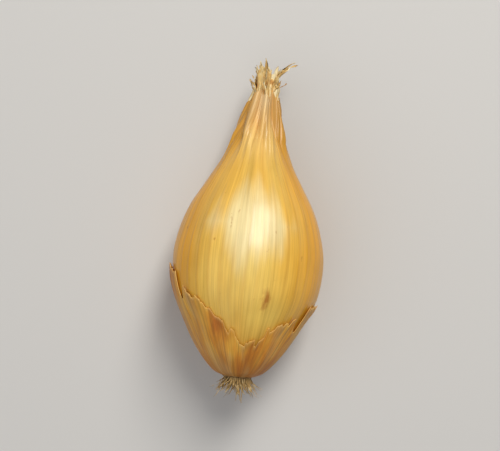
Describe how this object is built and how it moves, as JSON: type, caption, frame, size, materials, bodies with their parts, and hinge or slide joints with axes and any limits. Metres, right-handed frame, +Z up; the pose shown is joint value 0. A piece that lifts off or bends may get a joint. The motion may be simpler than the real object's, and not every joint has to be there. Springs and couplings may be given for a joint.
{
  "type": "onion set",
  "caption": "Small dry onion bulb for planting, teardrop shaped, with a frayed papery neck, torn old skin round the base and a tuft of dried roots, lying on its side.",
  "frame": {"origin": "Middle of the underside of the part's box, on the surface that the bulb lies on", "axes": "+Z up from that surface, +Y along the bulb from its roots to its neck, +X to its right with the neck ahead"},
  "size_m": [0.0216, 0.0494, 0.0208],
  "materials": {
    "dry_skin": "dry papery onion skin, satin, with fine veins from root to neck",
    "old_skin": "old, brown, matt, brittle outer skin with a torn edge",
    "neck_paper": "bleached, frayed, matt leaf remains",
    "dried_root": "corky root plate with dry, wiry, matt roots"
  },
  "bodies": {
    "root": {"bulb": "dry_skin", "outer_skin": "old_skin", "neck_wisps": "neck_paper", "root_tuft": "dried_root"}
  },
  "joints": []
}
